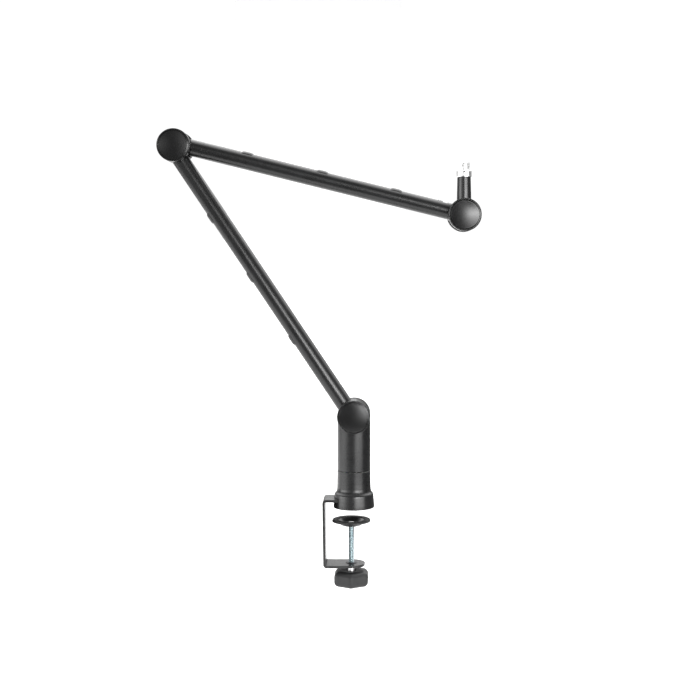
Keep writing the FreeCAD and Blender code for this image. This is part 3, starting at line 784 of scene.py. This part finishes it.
def cover_ribs(arm):
    """Low ribs across the channel cover, just before the cable's way out."""
    node, line = f"{arm}_channel_cover", ArmLine(arm)
    end = line.reach(node, line.along)[1] / MM
    for rib in range(RIBS):
        x = end - LAST_RIB_FROM_END - rib * RIB_STEP
        x0, x1 = x - RIB_WIDTH / 2, x + RIB_WIDTH / 2
        saddle(f"{arm}_cover_rib_{rib + 1}", line, node, x0, x1, RIB_RISE, RIB_SPREAD, RIB_FLATNESS)


soft_clips("lower_arm")
soft_clips("upper_arm")
cover_ribs("upper_arm")


# ---------------------------------------------------------------- camera

# place in metres, shift of the view in shares of its width, and focal length over the sensor's width
CAMERA_PLACE = (0.0370, -1.596, 0.3316)
CAMERA_SHIFT = (-0.0433, -0.1143)
FOCAL_LENGTH_PER_WIDTH = 57 / 35

camera_data = bpy.data.cameras.new("camera")
camera_data.lens = camera_data.sensor_width * FOCAL_LENGTH_PER_WIDTH
camera_data.shift_x, camera_data.shift_y = CAMERA_SHIFT
camera_data.clip_start = 0.1
camera_data.clip_end = 100.0
camera = bpy.data.objects.new("camera", camera_data)
bpy.context.scene.collection.objects.link(camera)
camera.location = CAMERA_PLACE
camera.rotation_euler = (math.radians(90), 0, 0)
bpy.context.scene.camera = camera


# ---------------------------------------------------------------- floor

# in metres: the gap below the knob, the sheet's two sides, its near edge, middle and far edge from front
# to back, and the radius and height of its rise
FLOOR_GAP = 0.0006
FLOOR_SIDES = (-1.7, 0.3)
FLOOR_NEAR, FLOOR_MIDDLE, FLOOR_FAR = -0.6, 2.0, 12.0
FLOOR_BEND = 3.0
FLOOR_TOP = 8.0
BEND_STEPS = 12


def white_paper():
    """Pale paper that glows a little, so that the floor stays even and almost white."""
    material, n, shader, where = new_material("white_paper")
    fibre = n.noise(where, 900.0, 3.0)
    n.join(n.blend_colours(fibre, grey(0.60), grey(0.64)), shader.inputs["Base Color"])
    shader.inputs["Roughness"].default_value = 0.85
    shader.inputs["Specular IOR Level"].default_value = 0.1
    shader.inputs["Emission Color"].default_value = (1, 1, 1, 1)
    shader.inputs["Emission Strength"].default_value = 0.60
    n.join(n.bump(fibre, 1e-5), shader.inputs["Normal"])
    return material


def paper_floor():
    """A wide sheet below the knob's lowest travel, rising softly far behind like a studio's paper roll."""
    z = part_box("clamp_knob")[0].z + joints["clamp_travel"]["range_m"][0] - FLOOR_GAP
    bend_start = FLOOR_FAR - FLOOR_BEND
    rows = [(FLOOR_NEAR, 0.0), (FLOOR_MIDDLE, 0.0), (bend_start, 0.0)]
    for i in range(1, BEND_STEPS + 1):
        a = math.radians(90 * i / BEND_STEPS)
        rows.append((bend_start + FLOOR_BEND * math.sin(a), FLOOR_BEND - FLOOR_BEND * math.cos(a)))
    rows.append((FLOOR_FAR, FLOOR_TOP))
    points, faces = [], []
    for y, rise in rows:
        points += [Vector((x, y, z + rise)) for x in FLOOR_SIDES]
    for i in range(len(rows) - 1):
        faces.append((2 * i, 2 * i + 1, 2 * i + 3, 2 * i + 2))
    thing = mesh_object("paper_floor", points, faces, crease=180.0)
    thing.data.materials.append(white_paper())


paper_floor()


# ---------------------------------------------------------------- soft lights in front, to the right

SOFTBOX_DISTANCE = 3.5


def softbox_glow(name, width, height, edge, power):
    """Light that fades out softly past a width and a height; all the rest of the sheet is clear."""
    material = bpy.data.materials.new(name)
    material.use_nodes = True
    n = Nodes(material.node_tree)
    place = n.add("ShaderNodeSeparateXYZ")
    n.join(n.add("ShaderNodeTexCoord").outputs["Object"], place.inputs[0])
    across = n.band(place.outputs[0], -width / 2, width / 2, edge)
    upright = n.band(place.outputs[1], -height / 2, height / 2, edge)
    glow = n.add("ShaderNodeEmission")
    n.join(n.math("MULTIPLY", n.math("MULTIPLY", across, upright), power), glow.inputs["Strength"])
    total = n.add("ShaderNodeAddShader")
    n.join(n.add("ShaderNodeBsdfTransparent").outputs[0], total.inputs[0])
    n.join(glow.outputs[0], total.inputs[1])
    n.join(total.outputs[0], n.add("ShaderNodeOutputMaterial").inputs["Surface"])
    return material


def softbox(name, azimuth, width, low, high, edge, power):
    """An upright sheet of light facing the object, azimuth degrees to the right of straight in front."""
    turn = math.radians(azimuth)
    toward = Vector((math.sin(turn), -math.cos(turn), 0))
    across = Vector((math.cos(turn), math.sin(turn), 0))
    facing = Matrix((across, Vector((0, 0, 1)), toward)).transposed().to_4x4()
    centre = (cad_low + cad_high) / 2 + toward * SOFTBOX_DISTANCE
    centre.z = (low + high) / 2
    half_x, half_y = width / 2 + edge, (high - low) / 2 + edge
    corners = [(-half_x, -half_y, 0), (half_x, -half_y, 0), (half_x, half_y, 0), (-half_x, half_y, 0)]
    thing = mesh_object(name, corners, [(0, 1, 2, 3)])
    thing.matrix_world = Matrix.Translation(centre) @ facing
    thing.visible_camera = False
    thing.data.materials.append(softbox_glow(name, width, high - low, edge, power))


softbox("key_light", azimuth=35.5, width=3.4, low=-0.42, high=1.15, edge=0.40, power=5.6)
softbox("key_core", azimuth=25.5, width=2.10, low=0.42, high=0.98, edge=0.27, power=13.0)


# ---------------------------------------------------------------- the room's own light

DEGREE = math.pi / 180
ROOM_LEFT, ROOM_RIGHT = 0.37, 0.18
BACKDROP = 1.05

# the bank's front and rear edge and their softness, in degrees from straight in front over the top, its
# two ends and theirs, in degrees to the side, and its power
BANK_EDGES = (80.0, 152.0, 22.0)
BANK_ENDS = (-54.0, 54.0, 16.0)
BANK_POWER = 3.8

# soft patches of light to the left and in front: left and right edge and their softness, lower and upper
# edge and theirs, in degrees from straight in front and from level, then the power
PATCHES = (
    (-97.0, -45.0, 14.0, -7.0, 12.0, 6.0, 2.7),
    (-90.0, -52.0, 12.0, 0.0, 12.0, 5.0, 4.4),
    (-46.0, -22.0, 10.0, 0.0, 14.0, 5.0, 1.4),
    (-3.0, 8.0, 3.0, 8.0, 30.0, 5.0, 1.2),
)


def room_light(n):
    """Strength of a dim room that darkens to the right, the patches, and a bank above and behind."""
    direction = n.add("ShaderNodeSeparateXYZ")
    n.join(n.add("ShaderNodeTexCoord").outputs["Generated"], direction.inputs[0])
    dx, dy, dz = direction.outputs
    around_z = n.math("ARCTAN2", dx, n.math("MULTIPLY", dy, -1.0))
    upward = n.math("ARCSINE", dz)
    light = n.ramp(around_z, -100 * DEGREE, 40 * DEGREE, ROOM_LEFT, ROOM_RIGHT)
    for left, right, soft_x, low_edge, high_edge, soft_z, power in PATCHES:
        across = n.band(around_z, left * DEGREE, right * DEGREE, soft_x * DEGREE)
        height = n.band(upward, low_edge * DEGREE, high_edge * DEGREE, soft_z * DEGREE)
        light = n.math("ADD", light, n.math("MULTIPLY", n.math("MULTIPLY", across, height), power))
    over_the_top = n.math("ARCTAN2", dz, n.math("MULTIPLY", dy, -1.0))
    bank = n.band(over_the_top, *(angle * DEGREE for angle in BANK_EDGES))
    sideways = n.band(n.math("ARCSINE", dx), *(angle * DEGREE for angle in BANK_ENDS))
    return n.math("ADD", light, n.math("MULTIPLY", n.math("MULTIPLY", bank, sideways), BANK_POWER))


def studio_world():
    """The room's light for the object, and plain white where the camera looks past it."""
    world = bpy.data.worlds.new("studio")
    bpy.context.scene.world = world
    world.use_nodes = True
    n = Nodes(world.node_tree)
    room = n.add("ShaderNodeBackground")
    room.inputs["Color"].default_value = (1, 1, 1, 1)
    n.join(room_light(n), room.inputs["Strength"])
    white = n.add("ShaderNodeBackground")
    white.inputs["Color"].default_value = (1, 1, 1, 1)
    white.inputs["Strength"].default_value = BACKDROP
    mixed = n.add("ShaderNodeMixShader")
    n.join(n.add("ShaderNodeLightPath").outputs["Is Camera Ray"], mixed.inputs[0])
    n.join(room.outputs[0], mixed.inputs[1])
    n.join(white.outputs[0], mixed.inputs[2])
    n.join(mixed.outputs[0], n.add("ShaderNodeOutputWorld").inputs["Surface"])


studio_world()
bpy.context.scene.view_settings.view_transform = "Standard"
